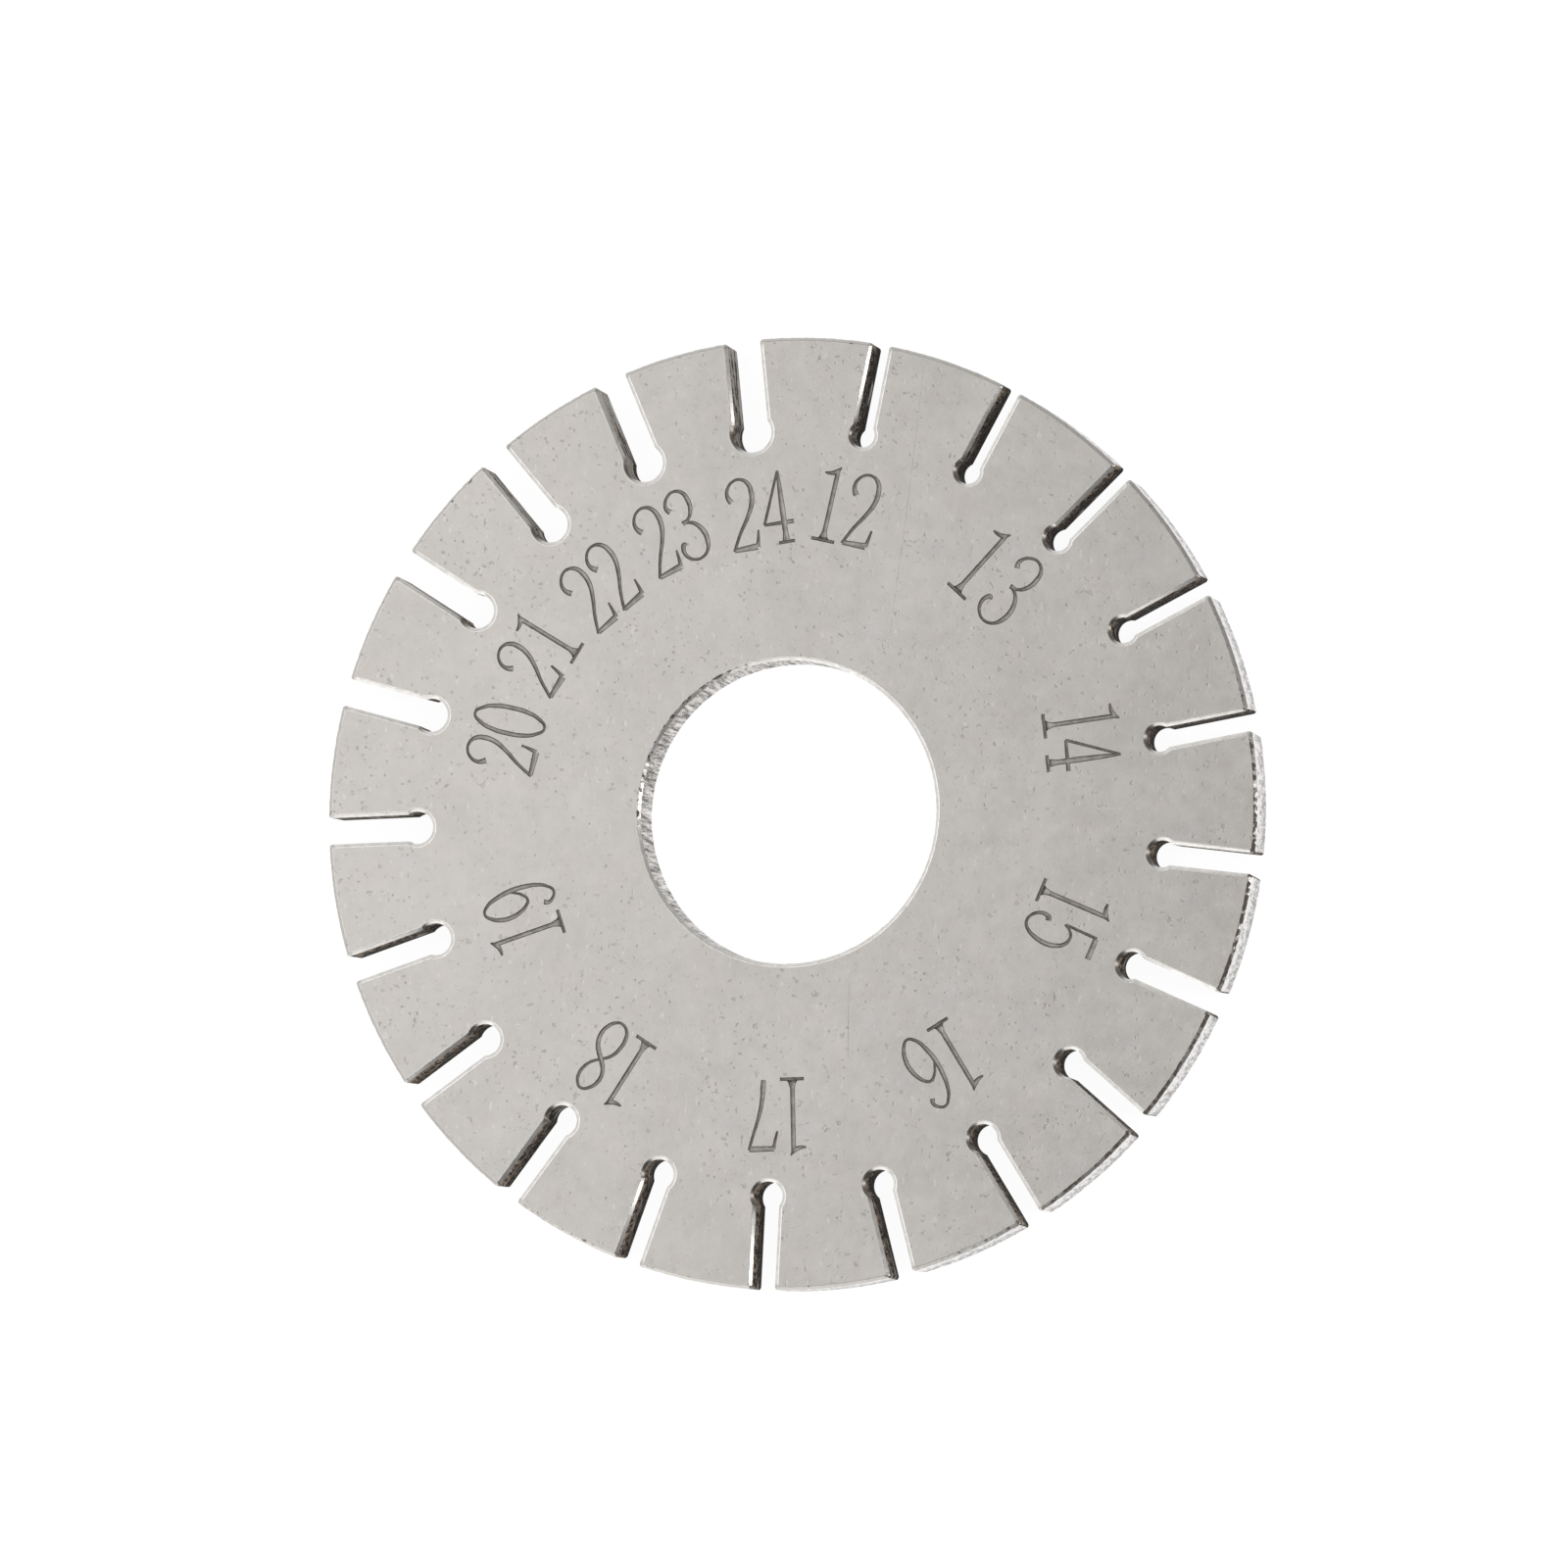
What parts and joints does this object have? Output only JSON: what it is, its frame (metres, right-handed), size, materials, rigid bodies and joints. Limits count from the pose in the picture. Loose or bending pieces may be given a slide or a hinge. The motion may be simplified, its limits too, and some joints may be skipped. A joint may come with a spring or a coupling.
{
  "type": "wire gauge",
  "caption": "Round steel wire gauge: a flat disc with a plain centre hole and graded keyhole slots cut in from its rim.",
  "frame": {"origin": "on the disc's axis at its under face, so the disc lies flat on the ground plane", "axes": "+Z along the disc's axis out of its numbered face; +Y points between the narrowest and the widest slot, and the slots grow clockwise seen from +Z"},
  "size_m": [0.04, 0.04, 0.002],
  "materials": {
    "disc_steel": "matt grey steel with fine specks, brighter at its worked edges"
  },
  "bodies": {
    "root": {"gauge_disc": "disc_steel"}
  },
  "joints": []
}
